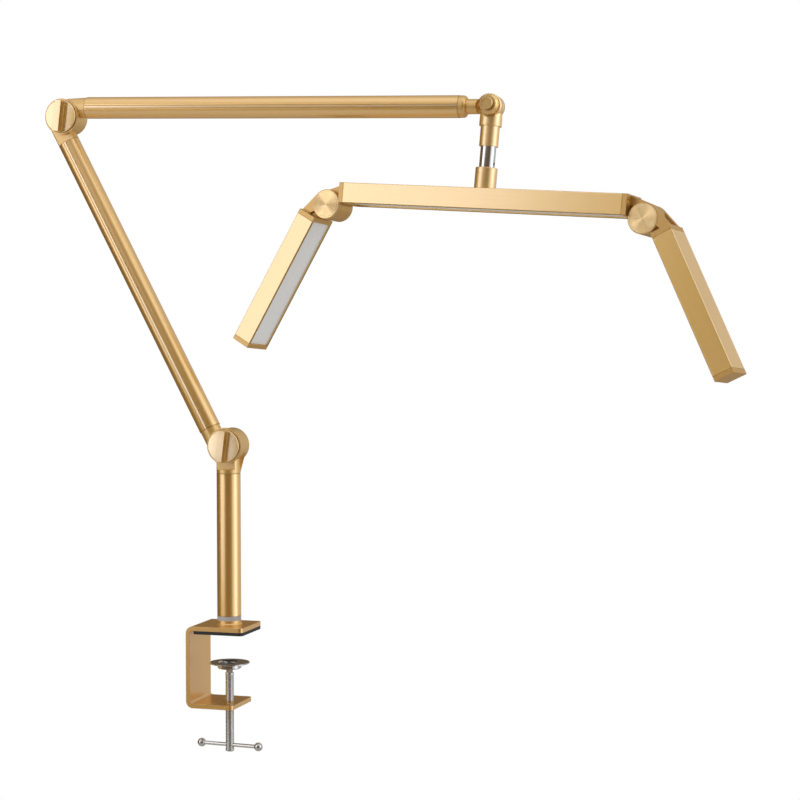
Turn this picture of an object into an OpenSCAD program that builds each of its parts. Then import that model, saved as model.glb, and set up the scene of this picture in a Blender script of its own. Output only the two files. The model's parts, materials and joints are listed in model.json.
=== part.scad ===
// Folding beauty lamp on a desk clamp: a bent sheet clamp with a screw, a short post,
// two tubular arms on offset friction elbows, a tilting and swivelling head, and a
// light bar with two wings that fold flat beneath it. Millimetres, Z up. The origin
// is the underside of the clamp's rubber pad on the post axis; +X is the way the
// clamp opens, and the front of the elbows, with their knobs, faces -Y.

/* [Pose] */
// Lift of the lower arm above the horizontal
lower_arm_angle = 117.85; // [60:0.05:150]
// Lift of the upper arm above the horizontal
upper_arm_angle = -1.65; // [-20:0.05:40]
// Turn of the neck about the upper arm
neck_turn = -3; // [-90:0.5:90]
// Swing of the head towards the arm from square
head_tilt = 2.8; // [-90:0.1:8]
// Turn of the light bar on its stem
head_turn = -10.5; // [-165:0.5:165]
// Fold of the left wing from straight
left_fold = 64.1; // [0:0.1:180]
// Fold of the right wing from straight
right_fold = 60.4; // [0:0.1:180]
// Lift of the pressure dish from its drawn place
dish_lift = 0; // [-29:0.5:26]
// Lean of the knobs' grip ribs from upright, top to the right
rib_lean = 7; // [-90:1:90]

/* [Clamp] */
// Width of the clamp's strip
clamp_w = 50; // [44:1:60]
// Thickness of the strip
strip_t = 4; // [3:0.5:5]
// Outer face of the spine behind the post axis
spine_x = 33; // [30:1:40]
// Reach of the top jaw in front of the post axis
top_reach = 22.2; // [20:0.2:30]
// Reach of the bottom jaw in front of the post axis
bottom_reach = 12.5; // [10:0.5:20]
// Underside of the pad down to the top of the bottom jaw
throat_h = 64.3; // [55:0.1:80]
// Inner radius of the two bends
bend_r = 2.5; // [2:0.5:4]
// Corner radius of the jaws in plan
jaw_corner_r = 3.5; // [1:0.5:8]
// Thickness of the rubber pad
pad_t = 3; // [2:0.5:5]
// Start of the pad behind the post axis
pad_back = 26.4; // [20:0.2:26.4]

/* [Clamp screw] */
// Radius of the pressure dish at its rim
dish_r = 18.6; // [16:0.2:20]
// Top of the dish below the pad
dish_drop = 28.3; // [28:0.1:30]
// Depth of the dish from rim to base
dish_depth = 5.7; // [5:0.1:7]
// Thickness of the dish's sheet
dish_t = 1.2; // [1:0.1:1.5]
// Outer radius of the dish's bowl
bowl_r = 11; // [10:0.5:12]
// Radius of the screw over its thread
screw_r = 4; // [4:0.5:5]
// Lower end of the screw below the pad
screw_drop = 111.2; // [108:0.2:120]
// Radius of the neck between dish and thread
screw_neck_r = 3.05; // [2.8:0.05:3.4]
// Centre of the cross bar above the screw's end
tommy_up = 6; // [5:0.5:8]
// Radius of the cross bar
tommy_r = 1.75; // [1.5:0.05:2]
// Distance of each ball from the screw's axis
tommy_reach = 29; // [25:0.5:35]
// Radius of the balls
ball_r = 4; // [3.5:0.1:5]
// Turn of the cross bar from the X axis
tommy_turn = -4.5; // [-90:0.5:90]

/* [Post] */
// Radius of the post tube
post_r = 11; // [10:0.5:12]
// Height of the collar on the top jaw
collar_h = 4; // [3:0.5:6]
// Thickness of the swivel washer
washer_h = 4; // [2:0.5:5]
// Height of the lower elbow's axis above the pad
lower_elbow_z = 172; // [160:1:190]
// Radius of the swivel stud
stud_r = 5; // [4:0.5:5]
// Wall of every tube
tube_wall = 1.5; // [1:0.1:2]

/* [Arms] */
// Lower elbow axis to upper elbow axis
lower_arm_l = 345; // [250:1:400]
// Upper elbow axis to tilt axis, along the arm
upper_arm_l = 411; // [300:0.5:450]
// Radius of the arm tubes
arm_r = 10; // [9.5:0.1:10.5]
// Offset of the arm tubes from the elbow axes
arm_offset = 8.8; // [8:0.1:9.5]
// Elbow axis to the seam with an arm tube
arm_seam = 22; // [22:0.5:26]
// Elbow axis to the seam with the post tube
post_seam = 25.5; // [25:0.5:30]
// Distance between the two fine grooves in a tube
groove_gap = 2.6; // [2:0.1:4]
// Width of a groove
groove_w = 0.5; // [0.3:0.1:0.8]
// Depth of a groove
groove_d = 0.3; // [0.2:0.05:0.4]

/* [Elbows] */
// Radius of the hub of an elbow
hub_r = 16; // [15.5:0.1:17]
// Front face of the hub before the tube's axis
hub_front = 6.7; // [6:0.1:7]
// Back face of the hub behind the tube's axis
hub_back = 12.1; // [11.5:0.1:13]
// Distance of the flat recess's ledge from the axis
ledge_s = 21.9; // [20:0.1:22]
// Radius of the ear
ear_r = 16.6; // [16:0.1:17]
// Front rim of the ear before the tube's axis
ear_front = 10.9; // [10:0.1:12]
// Wall of the ear's floor
ear_floor = 1.2; // [1:0.1:1.5]
// Wall of the ear's rim
ear_rim = 1.3; // [0.8:0.1:1.5]
// Front face of the knob's disc
knob_front = 13.4; // [12:0.1:14]
// Width of the knob's grip rib
rib_w = 6; // [4:0.1:8]
// Height of the grip rib on the disc
rib_h = 7.5; // [3:0.1:9]
// Depth of a groove that marks the end of a casting
seam_d = 0.2; // [0.1:0.05:0.3]
// Radius of the knob's threaded shank
shank_r = 3; // [2.5:0.5:3]

/* [Tilt joint] */
// End of the arm's tube before the tilt axis
cap_seam = 29; // [27:0.5:32]
// End of the arm's cap before the tilt axis
cap_face = 22.5; // [20:0.5:24]
// Radius of the neck
neck_r = 6.65; // [6:0.05:7]
// Radius of the two cheeks
cheek_r = 10.3; // [10:0.1:11]
// Front face of the front cheek
cheek_front = 8.5; // [7.5:0.1:9]
// Back face of the rear cheek
cheek_back = 6.5; // [6:0.1:8]
// Radius of the socket
socket_r = 9.9; // [9:0.1:10]
// Bottom of the socket below the tilt axis
socket_drop = 17.4; // [17:0.1:20]
// Radius of the knurled knob
knurl_r = 9.5; // [8.5:0.1:10]
// Number of grooves in the knurl
knurl_count = 26; // [20:1:32]
// Front of the knurled knob's boss
boss_front = 20.5; // [19:0.1:23]
// Radius of the boss
boss_r = 5.3; // [5:0.1:7]

/* [Stem] */
// Radius of the sleeve
sleeve_r = 8.4; // [8.3:0.05:9]
// Bottom of the sleeve below the tilt axis
sleeve_drop = 35.3; // [32:0.1:38]
// Radius of the polished shaft
shaft_r = 6.9; // [6:0.1:7.2]
// Top of the collar below the tilt axis
collar_drop = 54; // [50:0.5:60]
// Radius of the collar on the light bar
stem_collar_r = 9.7; // [9:0.1:11]
// Top of the light bar below the tilt axis
bar_drop = 73.2; // [70:0.1:90]

/* [Light bar and wings] */
// Length of the light bar with its end caps
bar_l = 277; // [240:1:300]
// Centre of the light bar from the stem's axis
bar_shift = 1.5; // [-2:0.5:2]
// Width of the bar and the wings
bar_w = 34; // [30:1:40]
// Height of the bar and the wings
bar_h = 18.5; // [16:0.5:22]
// Thickness of every end cap
cap_t = 4.2; // [3:0.1:6]
// Bar cap to hinge axis
hinge_out = 14.2; // [14:0.1:16]
// Hinge axis below the bar, and outside the wing's face
hinge_low = 1.5; // [1:0.1:3]
// Hinge axis to the wing's inner end
wing_start = 15.5; // [15:0.1:18]
// Hinge axis to the wing's outer end
wing_end = 151.9; // [120:0.1:151.9]
// Radius of the hinge knuckles
knuckle_r = 13.5; // [12:0.1:13.5]
// Radius of the turned discs on the hinges
disc_r = 12.7; // [11:0.1:13.4]
// Radius of the hinge pins
pin_r = 3; // [2:0.5:4]

/* [Hidden] */
$fn = 96;

gold = [0.86, 0.70, 0.45];
pale_gold = [0.93, 0.80, 0.58];
steel = [0.74, 0.75, 0.77];
black = [0.08, 0.08, 0.09];
frost = [0.80, 0.80, 0.82];
resin = [0.66, 0.66, 0.68];
board_green = [0.88, 0.88, 0.86];

// Clearances: a shaft turning in its hole, faces that slide past each other, a
// spigot pushed into its tube, and the sweep of a cheek or hub past its neighbour
run_gap = 0.05;
face_gap = 0.1;
push_gap = 0.05;
sweep_gap = 0.35;

// Reach of a cut past the piece, a cut just past a face, and the overlap of two forms
// that make one piece
beyond = 60;
overcut = 1;
skin = 0.01;
edge_cut = 0.5;
seam_w = 0.6;

clamp_top = pad_t + strip_t;
clamp_bottom = -throat_h - strip_t;
stud_head_r = 8.5;
stud_head_h = 3.5;
washer_z = clamp_top + collar_h;
post_z = washer_z + washer_h;
post_tube_top = lower_elbow_z - post_seam;
bush_h = 24;
stud_nut_h = 6;
stud_nut_r = 8.6;
stud_end = 2;
collar_foot = 1;
collar_foot_h = 0.6;
collar_play = 0.15;
dish_pin_r = 2.45;
dish_bore_r = dish_pin_r + run_gap;
dish_edge = 0.3;
bowl_edge = 0.8;
bowl_fillet = 0.6;
bowl_wall = 1.65;
screw_neck_l = 3.4;
screw_shoulder = 0.6;
screw_chamfer = 1.2;
rivet_r = 4.6;
rivet_h = 1.5;
rivet_rim = 0.6;
rivet_slope = 1.4;

ear_back = hub_front + 0.2;
cup_r = ear_r - ear_rim;
cup_floor = ear_back + ear_floor;
knob_back = cup_floor + face_gap;
knob_r = cup_r - 0.2;
knob_neck_r = shank_r + 0.5;
rib_r = knob_r - 0.4;
friction_r = 9;
friction_d = 1;
washer_play = 0.7;
rear_cap_r = 13.5;
rear_cap_t = 1.5;
nut_t = 5;
nut_r = 5.8;
spigot_l = 12;
taper_s = 9;
foot_r = arm_r - 0.6;
foot_trim = 4;
gusset_y = 4;
gusset_lean = 14;
gusset_reach = hub_r - 1;

cap_spigot_l = 4;
cap_round = 3;
neck_tail = 10;
neck_ring_t = 2;
socket_saddle_r = 14;
shoulder_z = 6.5;
shoulder_turn = 35;
shoulder_in = 0.4;
neck_cut_r = 13.5;
socket_spigot_r = 5.5;
socket_spigot_l = 2;
cheek_edge = 1;
tilt_shank_r = 2.5;
tilt_nut_t = 4;
tilt_nut_r = 4.6;
knurl_back = 10.5;
knurl_front = 16.8;
knurl_bevel = 2.2;
flute_r = 0.8;
boss_bore_r = 4.3;
boss_bore_d = 0.6;
knob_collar_r = 7.5;
shaft_top = 19.5;
shaft_foot = 3;
grub_hole_r = 1.5;
grub_hole_d = 4;
grub_hole_drop = 50.5;

wall = 1.6;
top_wall = 2;
lip = 1.8;
diffuser_t = 1.5;
ledge_t = 1;
ledge_w = 1.5;
corner_r = 0.8;
port_r = 2.4;
port_hole_r = 1.2;
port_sink = 0.4;
port_rise = 1;
port_y = bar_w / 2 - wall - port_r + port_sink;
board_t = 1.6;
board_inset = 4.5;
board_w = bar_w - 2 * board_inset;
board_end = 1;
chip_pitch = 11;
chip_end = 4;
chip_l = 3.5;
chip_w = 2.8;
chip_h = 0.75;
tongue_w = 14.6;
cheek_gap = 0.2;
fork_inset = 4;
fork_w = bar_w - 2 * fork_inset;
link_h = 8;
seat_r = 2.4;
seat_h = 1;
disc_t = 1;
cap_chamfer = 0.4;

// Frames of the moving groups
module at_lower_elbow() {
    translate([0, 0, lower_elbow_z]) rotate([0, -lower_arm_angle, 0]) children();
}

module at_upper_elbow_on_lower_arm() {
    at_lower_elbow() translate([lower_arm_l, 0, 0]) children();
}

module at_upper_arm() {
    at_upper_elbow_on_lower_arm() rotate([0, lower_arm_angle - upper_arm_angle, 0]) children();
}

module at_tilt() {
    at_upper_arm() translate([upper_arm_l, 0, arm_offset]) rotate([neck_turn, 0, 0]) children();
}

module at_stem() {
    at_tilt() rotate([0, head_tilt, 0]) children();
}

module at_head() {
    at_stem() rotate([0, 0, head_turn]) children();
}

module at_bar() {
    at_head() translate([bar_shift, 0, -bar_drop]) children();
}

// side is 1 for the right wing and -1 for the left
module at_hinge(side) {
    at_bar() mirror([side < 0 ? 1 : 0, 0, 0])
        translate([bar_l / 2 + hinge_out, 0, -bar_h - hinge_low]) children();
}

module at_wing(side) {
    at_hinge(side) rotate([0, side < 0 ? left_fold : right_fold, 0]) children();
}

// Shapes that repeat
module rounded_rect(w, h, r) {
    square([w - 2 * r, h], center = true);
    square([w, h - 2 * r], center = true);
    for (x = [-1, 1]) {
        for (y = [-1, 1]) {
            translate([x * (w / 2 - r), y * (h / 2 - r)]) circle(r, $fn = 32);
        }
    }
}

// A round bar along X, from x0 to x1
module rod_x(r, x0, x1) {
    translate([x0, 0, 0]) rotate([0, 90, 0]) cylinder(h = x1 - x0, r = r);
}

// A round bar along Y, from y0 to y1
module rod_y(r, y0, y1) {
    translate([0, y0, 0]) rotate([-90, 0, 0]) cylinder(h = y1 - y0, r = r);
}

// A turned disc along Y with chamfered edges at both ends
module turned_y(r, y0, y1, edge) {
    rotate([-90, 0, 0]) rotate_extrude() polygon([
        [0, y0], [r - edge, y0], [r, y0 + edge], [r, y1 - edge], [r - edge, y1], [0, y1]
    ]);
}

// An outline in the X-Z plane drawn out along Y
module slab_y(y0, y1) {
    translate([0, y1, 0]) rotate([90, 0, 0]) linear_extrude(y1 - y0) children();
}

// Ring of a tube across X, its grooves towards -Y and +Y
module arm_tube_profile() {
    difference() {
        circle(arm_r);
        circle(arm_r - tube_wall);
        for (front = [-1, 1]) {
            for (side = [-1, 1]) {
                translate([front * arm_r, side * groove_gap / 2])
                    square([2 * groove_d, groove_w], center = true);
            }
        }
    }
}

// Tube along X from x0 to x1
module arm_tube(x0, x1) {
    translate([x0, 0, arm_offset]) rotate([90, 0, 90]) linear_extrude(x1 - x0) arm_tube_profile();
}

// Elbow: the inboard end, whose tube arrives along +X. In front of the hub's face the
// tube is cut away down to a ledge, so that the ear of the next arm can swing there.
// Children are further material, which gets the same bores.
module inboard_end(tube_r, offset, seam) {
    high = offset + tube_r;
    difference() {
        union() {
            turned_y(hub_r, -hub_front, hub_back, edge_cut);
            translate([0, 0, offset]) {
                if (seam - seam_w > ledge_s) {
                    rod_x(tube_r, -seam + seam_w, -ledge_s);
                }
                rod_x(tube_r - seam_d, -seam, -ledge_s);
                rod_x(tube_r - tube_wall - push_gap, -seam - spigot_l, -seam);
            }
            intersection() {
                translate([0, 0, offset]) rod_x(tube_r, -ledge_s, 0);
                slab_y(-hub_front, hub_back) polygon([
                    [-ledge_s, offset - tube_r], [0, offset - tube_r], [0, min(high, hub_r)],
                    [-taper_s, high], [-ledge_s, high]
                ]);
            }
            children();
        }
        rod_y(shank_r + run_gap, -beyond, beyond);
        rod_y(friction_r + face_gap, -beyond, -hub_front + friction_d);
        rod_y(rear_cap_r + face_gap, hub_back - rear_cap_t, beyond);
        nut_pocket(hub_back - rear_cap_t, nut_t, nut_r + face_gap);
    }
}

// Web behind the post's end, from its tube out to the hub on the side the lamp leans to
module post_gusset() {
    intersection() {
        translate([-post_seam, 0, 0]) rotate([0, 90, 0])
            cylinder(h = post_seam, r1 = post_r - seam_d, r2 = post_r + post_seam * tan(gusset_lean));
        slab_y(gusset_y, hub_back) translate([-post_seam, -gusset_reach])
            square([2 * post_seam, gusset_reach]);
    }
}

// A hexagonal pocket or nut that ends at y1
module nut_pocket(y1, t, r) {
    translate([0, y1 - t, 0]) rotate([-90, 0, 0]) cylinder(h = t, r = r, $fn = 6);
}

module elbow_washer() {
    difference() {
        rod_y(friction_r, -ear_back, -hub_front + friction_d);
        rod_y(shank_r + washer_play, -beyond, beyond);
    }
}

module elbow_nut() {
    difference() {
        nut_pocket(hub_back - rear_cap_t, nut_t, nut_r);
        rod_y(shank_r + run_gap, -beyond, beyond);
    }
}

module elbow_rear_cap() {
    turned_y(rear_cap_r, hub_back - rear_cap_t, hub_back, cap_chamfer);
}

// Knob with its grip rib, shoulder and shank
module elbow_knob() {
    rotate([0, rib_lean, 0]) {
        turned_y(knob_r, -knob_front, -knob_back, edge_cut);
        rod_y(knob_neck_r, -knob_back, -ear_back);
        rod_y(shank_r, -ear_back, hub_back - rear_cap_t - face_gap);
        intersection() {
            turned_y(rib_r, -knob_front - rib_h, -knob_back, edge_cut);
            slab_y(-knob_front - rib_h, -knob_back) square([rib_w, 2 * rib_r], center = true);
        }
    }
}

// Elbow: the outboard end, whose tube leaves along +X. Its front cheek is the ear,
// a cup that holds the knob, and its end is hollowed to wrap the hub.
module outboard_end() {
    high = arm_offset + foot_r;
    low = arm_offset - foot_r;
    difference() {
        union() {
            difference() {
                intersection() {
                    translate([0, 0, arm_offset]) rod_x(foot_r, -ear_r, arm_seam);
                    slab_y(-beyond, beyond) polygon([
                        [0, low], [arm_seam, low], [arm_seam, high],
                        [foot_trim, ear_r + (high - ear_r) * foot_trim / arm_seam],
                        [0, hub_r - sweep_gap]
                    ]);
                }
                rod_y(hub_r + sweep_gap, -ear_back, beyond);
            }
            rod_y(ear_r, -ear_front, -ear_back);
            translate([0, 0, arm_offset])
                rod_x(arm_r - tube_wall - push_gap, arm_seam, arm_seam + spigot_l);
        }
        rod_y(cup_r, -beyond, -cup_floor);
        rod_y(knob_neck_r + run_gap, -beyond, beyond);
    }
}

// Extruded housing along X with its open side towards -Z. Its top is at z = 0.
module housing_profile() {
    ledge_z = -bar_h + lip + diffuser_t + ledge_t / 2;
    difference() {
        union() {
            difference() {
                translate([0, -bar_h / 2]) rounded_rect(bar_w, bar_h, corner_r);
                translate([-bar_w / 2 + wall, -bar_h - overcut])
                    square([bar_w - 2 * wall, bar_h + overcut - top_wall]);
            }
            for (side = [-1, 1]) {
                translate([side * (bar_w / 2 - wall - ledge_w / 2), ledge_z])
                    square([ledge_w + 2 * skin, ledge_t], center = true);
                translate([side * port_y, -bar_h / 2 + port_rise]) circle(port_r, $fn = 32);
            }
        }
        for (side = [-1, 1]) {
            translate([side * port_y, -bar_h / 2 + port_rise]) circle(port_hole_r, $fn = 24);
        }
    }
}

module along_x(x0, x1) {
    translate([x0, 0, 0]) rotate([90, 0, 90]) linear_extrude(x1 - x0) children();
}

module housing(x0, x1) {
    along_x(x0, x1) housing_profile();
}

module diffuser(x0, x1) {
    half = bar_w / 2 - wall - face_gap;
    along_x(x0, x1) translate([-half, -bar_h + lip]) square([2 * half, diffuser_t]);
}

module led_board(x0, x1) {
    count = floor((x1 - x0 - 2 * chip_end) / chip_pitch);
    first = (x0 + x1) / 2 - (count - 1) * chip_pitch / 2;
    under = -top_wall - board_t;
    translate([x0 + board_end, -board_w / 2, under]) cube([x1 - x0 - 2 * board_end, board_w, board_t]);
    for (i = [0 : count - 1]) {
        translate([first + i * chip_pitch, 0, under]) cube([chip_l, chip_w, 2 * chip_h], center = true);
    }
}

module cap_plate(x0, x1) {
    along_x(x0, x1) translate([0, -bar_h / 2]) rounded_rect(bar_w, bar_h, corner_r);
}

// Seats of the two screws of a cap whose outer face is at x, raised towards sign
module screw_seats(x, sign) {
    for (y = [-1, 1]) {
        translate([x, y * port_y, hinge_low + bar_h / 2 + port_rise])
            rotate([0, sign * 90, 0]) cylinder(h = seat_h, r = seat_r, $fn = 32);
    }
}

// Cheek from the face of a cap, which is at distance gap before the hinge axis, to
// the round of the knuckle. The outline is drawn round the hinge axis with the cap
// on its -X side. Its top edge is the tangent from the cap's top corner, and below
// the link a wedge stays open between the knuckle and the cap.
module knuckle_outline(gap) {
    top = hinge_low + bar_h;
    reach = sqrt(gap * gap + top * top);
    lean = atan2(top, gap);
    turn = acos(knuckle_r / reach);
    touch = 180 - lean - turn;
    circle(knuckle_r);
    polygon([
        [-gap, top - corner_r], [knuckle_r * cos(touch), knuckle_r * sin(touch)],
        [0, 0], [-gap, top - corner_r - link_h]
    ]);
}

// Clamp
module clamp_section() {
    inner_w = spine_x + 2 * beyond;
    difference() {
        translate([-spine_x + inner_w / 2, (clamp_top + clamp_bottom) / 2])
            rounded_rect(inner_w, clamp_top - clamp_bottom, bend_r + strip_t);
        translate([-spine_x + strip_t + inner_w / 2, (pad_t - throat_h) / 2])
            rounded_rect(inner_w, pad_t + throat_h, bend_r);
    }
}

// Plan of a jaw that ends at x1, with its front corners rounded
module jaw_plan(x1) {
    translate([x1 - beyond, 0]) rounded_rect(2 * beyond, clamp_w, jaw_corner_r);
}

module clamp_frame() {
    middle = (pad_t - throat_h) / 2;
    color(gold) difference() {
        union() {
            intersection() {
                slab_y(-clamp_w / 2, clamp_w / 2) clamp_section();
                translate([0, 0, middle]) linear_extrude(beyond) jaw_plan(top_reach);
            }
            intersection() {
                slab_y(-clamp_w / 2, clamp_w / 2) clamp_section();
                translate([0, 0, middle - beyond]) linear_extrude(beyond) jaw_plan(bottom_reach);
            }
        }
        cylinder(h = beyond, r = stud_r + face_gap);
        translate([0, 0, pad_t - skin])
            cylinder(h = stud_head_h, r1 = stud_head_r + face_gap, r2 = stud_r + face_gap);
        translate([0, 0, clamp_bottom - overcut])
            cylinder(h = strip_t + 2 * overcut, r = screw_r + run_gap);
    }
}

module jaw_pad() {
    length = pad_back + top_reach;
    color(black) translate([top_reach - length / 2, 0, 0]) linear_extrude(pad_t)
        rounded_rect(length, clamp_w, jaw_corner_r);
}

module base_collar() {
    color(gold) translate([0, 0, clamp_top]) difference() {
        rotate_extrude() polygon([
            [0, 0], [post_r + collar_foot, 0], [post_r + collar_foot, collar_foot_h],
            [post_r + collar_play, collar_foot_h + collar_foot], [post_r + collar_play, collar_h],
            [0, collar_h]
        ]);
        translate([0, 0, -overcut]) cylinder(h = collar_h + 2 * overcut, r = stud_r + face_gap);
    }
}

module base_stud() {
    length = post_z - pad_t + bush_h + stud_nut_h + stud_end;
    color(steel) translate([0, 0, pad_t]) rotate_extrude() polygon([
        [0, 0], [stud_head_r, 0], [stud_r, stud_head_h], [stud_r, length], [0, length]
    ]);
}

module swivel_washer() {
    color(resin) translate([0, 0, washer_z]) difference() {
        cylinder(h = washer_h, r = post_r);
        translate([0, 0, -overcut]) cylinder(h = washer_h + 2 * overcut, r = stud_r + face_gap);
    }
}

module stud_nut() {
    color(steel) translate([0, 0, post_z + bush_h + face_gap]) difference() {
        cylinder(h = stud_nut_h, r = stud_nut_r, $fn = 6);
        translate([0, 0, -overcut]) cylinder(h = stud_nut_h + 2 * overcut, r = stud_r + run_gap);
    }
}

module pressure_dish() {
    top = -dish_drop + dish_lift;
    color(steel) translate([0, 0, top]) rotate_extrude() polygon([
        [dish_bore_r, -dish_depth], [bowl_r - bowl_edge, -dish_depth], [bowl_r, -dish_depth + bowl_edge],
        [bowl_r, -dish_t - bowl_fillet], [bowl_r + bowl_fillet, -dish_t], [dish_r - dish_edge, -dish_t],
        [dish_r, -dish_t + dish_edge], [dish_r, -dish_edge], [dish_r - dish_edge, 0],
        [bowl_r - bowl_fillet, 0], [bowl_r - bowl_wall, bowl_fillet - bowl_wall],
        [bowl_r - bowl_wall, -dish_depth + dish_t], [dish_bore_r, -dish_depth + dish_t]
    ]);
}

module at_tommy() {
    translate([0, 0, -screw_drop + tommy_up + dish_lift]) rotate([0, 0, tommy_turn]) children();
}

module clamp_spindle() {
    floor_z = -dish_drop - dish_depth;
    rivet_z = floor_z + dish_t + face_gap;
    thread_top = floor_z - screw_neck_l - screw_shoulder;
    color(steel) difference() {
        translate([0, 0, dish_lift]) rotate_extrude() polygon([
            [0, -screw_drop], [screw_r - screw_chamfer, -screw_drop],
            [screw_r, -screw_drop + screw_chamfer], [screw_r, thread_top],
            [screw_neck_r, thread_top + screw_shoulder], [screw_neck_r, floor_z - face_gap],
            [dish_pin_r, floor_z - face_gap], [dish_pin_r, rivet_z], [rivet_r, rivet_z],
            [rivet_r, rivet_z + rivet_rim], [rivet_r - rivet_slope, rivet_z + rivet_h],
            [0, rivet_z + rivet_h]
        ]);
        at_tommy() rod_x(tommy_r + run_gap, -beyond, beyond);
    }
}

module tommy_bar() {
    color(steel) at_tommy() rotate([0, 90, 0]) rotate_extrude() intersection() {
        union() {
            translate([0, -tommy_reach]) square([tommy_r, 2 * tommy_reach]);
            for (side = [-1, 1]) {
                translate([0, side * tommy_reach]) circle(ball_r);
            }
        }
        translate([0, -beyond]) square([ball_r, 2 * beyond]);
    }
}

// Post
module post_tube() {
    color(gold) translate([0, 0, post_z]) difference() {
        cylinder(h = post_tube_top - post_z, r = post_r);
        translate([0, 0, -overcut]) cylinder(h = post_tube_top, r = post_r - tube_wall);
    }
}

module post_bush() {
    color(steel) translate([0, 0, post_z]) difference() {
        cylinder(h = bush_h, r = post_r - tube_wall - push_gap);
        translate([0, 0, -overcut]) cylinder(h = bush_h + 2 * overcut, r = stud_r + run_gap);
    }
}

// The post's head stands upright, with its tube arriving from below
module at_post_head() {
    translate([0, 0, lower_elbow_z]) rotate([0, -90, 0]) children();
}

module post_head() {
    color(gold) at_post_head() inboard_end(post_r, 0, post_seam) post_gusset();
}

module lower_washer() {
    color(resin) at_post_head() elbow_washer();
}

module lower_nut() {
    color(steel) at_post_head() elbow_nut();
}

module lower_rear_cap() {
    color(gold) at_post_head() elbow_rear_cap();
}

// Lower arm
module lower_knob() {
    color(pale_gold) translate([0, 0, lower_elbow_z]) elbow_knob();
}

module lower_arm_foot() {
    color(gold) at_lower_elbow() outboard_end();
}

module lower_arm_tube() {
    color(gold) at_lower_elbow() arm_tube(arm_seam, lower_arm_l - arm_seam);
}

module lower_arm_head() {
    color(gold) at_upper_elbow_on_lower_arm() inboard_end(arm_r, arm_offset, arm_seam);
}

module upper_washer() {
    color(resin) at_upper_elbow_on_lower_arm() elbow_washer();
}

module upper_nut() {
    color(steel) at_upper_elbow_on_lower_arm() elbow_nut();
}

module upper_rear_cap() {
    color(gold) at_upper_elbow_on_lower_arm() elbow_rear_cap();
}

// Upper arm
module upper_knob() {
    color(pale_gold) at_upper_arm() rotate([0, upper_arm_angle, 0]) elbow_knob();
}

module upper_arm_foot() {
    color(gold) at_upper_arm() outboard_end();
}

module upper_arm_tube() {
    color(gold) at_upper_arm() arm_tube(arm_seam, upper_arm_l - cap_seam);
}

module upper_arm_cap() {
    face = upper_arm_l - cap_face;
    seam = upper_arm_l - cap_seam;
    lip_r = arm_r - seam_d;
    color(gold) at_upper_arm() translate([0, 0, arm_offset]) difference() {
        union() {
            rod_x(arm_r - tube_wall - push_gap, seam - cap_spigot_l, seam);
            rod_x(lip_r, seam, face - cap_round);
            rod_x(lip_r - cap_round, face - cap_round, face);
            translate([face - cap_round, 0, 0]) rotate([0, 90, 0]) rotate_extrude()
                intersection() {
                    translate([lip_r - cap_round, 0]) circle(cap_round, $fn = 48);
                    square([lip_r, cap_round]);
                }
        }
        rod_x(neck_r + run_gap, 0, upper_arm_l);
    }
}

// Tilt joint: the neck carries the rear cheek, and the socket the front cheek
module tilt_neck() {
    color(gold) at_tilt() difference() {
        union() {
            rod_x(neck_r, -cap_seam - neck_tail, 0);
            turned_y(cheek_r, face_gap, cheek_back, cheek_edge);
        }
        rod_y(neck_cut_r, -beyond, face_gap);
        rod_y(tilt_shank_r + run_gap, -beyond, beyond);
        nut_pocket(cheek_back, tilt_nut_t, tilt_nut_r + face_gap);
    }
}

// Retaining ring on the neck inside the arm's tube
module neck_ring() {
    back = cap_seam + cap_spigot_l + sweep_gap;
    color(steel) at_tilt() difference() {
        rod_x(arm_r - tube_wall - sweep_gap, -back - neck_ring_t, -back);
        rod_x(neck_r, -beyond, 0);
    }
}

module tilt_nut() {
    color(steel) at_tilt() difference() {
        nut_pocket(cheek_back, tilt_nut_t, tilt_nut_r);
        rod_y(tilt_shank_r + run_gap, -beyond, beyond);
    }
}

module tilt_knob() {
    color(gold) at_tilt() difference() {
        union() {
            difference() {
                rotate([90, 0, 0]) rotate_extrude() polygon([
                    [0, knurl_back], [knurl_r, knurl_back], [knurl_r, knurl_front - knurl_bevel],
                    [knurl_r - knurl_bevel, knurl_front], [0, knurl_front]
                ]);
                rotate([90, 0, 0]) for (i = [0 : knurl_count - 1]) {
                    rotate(i * 360 / knurl_count) translate([knurl_r, 0, 0])
                        cylinder(h = beyond, r = flute_r, $fn = 12);
                }
            }
            turned_y(boss_r, -boss_front, -knurl_front + overcut, edge_cut);
            rod_y(knob_collar_r, -knurl_back, -cheek_front - face_gap);
            rod_y(tilt_shank_r, -cheek_front - face_gap, cheek_back - face_gap);
        }
        rod_y(boss_bore_r, -beyond, -boss_front + boss_bore_d);
    }
}

// Socket: its front half reaches up to the front cheek, and its rear half stops under
// the rear cheek
module tilt_socket() {
    shoulder = (cheek_r - shoulder_in) * [cos(shoulder_turn), -sin(shoulder_turn)];
    color(gold) at_stem() difference() {
        union() {
            turned_y(cheek_r, -cheek_front, 0, cheek_edge);
            rod_y(cheek_r, -cheek_edge, 0);
            difference() {
                translate([0, 0, -socket_drop]) cylinder(h = socket_drop, r = socket_r);
                slab_y(-beyond, beyond) polygon([
                    [-beyond, beyond], [-beyond, -shoulder_z], [-socket_r, -shoulder_z],
                    [-shoulder[0], shoulder[1]], [shoulder[0], shoulder[1]],
                    [socket_r, -shoulder_z], [beyond, -shoulder_z], [beyond, beyond]
                ]);
                rod_y(socket_saddle_r, 0, beyond);
                rod_y(cheek_r + sweep_gap, -beyond, -cheek_front);
            }
        }
        rod_y(tilt_shank_r + run_gap, -beyond, beyond);
        translate([0, 0, -socket_drop - socket_spigot_l])
            cylinder(h = 2 * socket_spigot_l, r = socket_spigot_r);
    }
}

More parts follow.
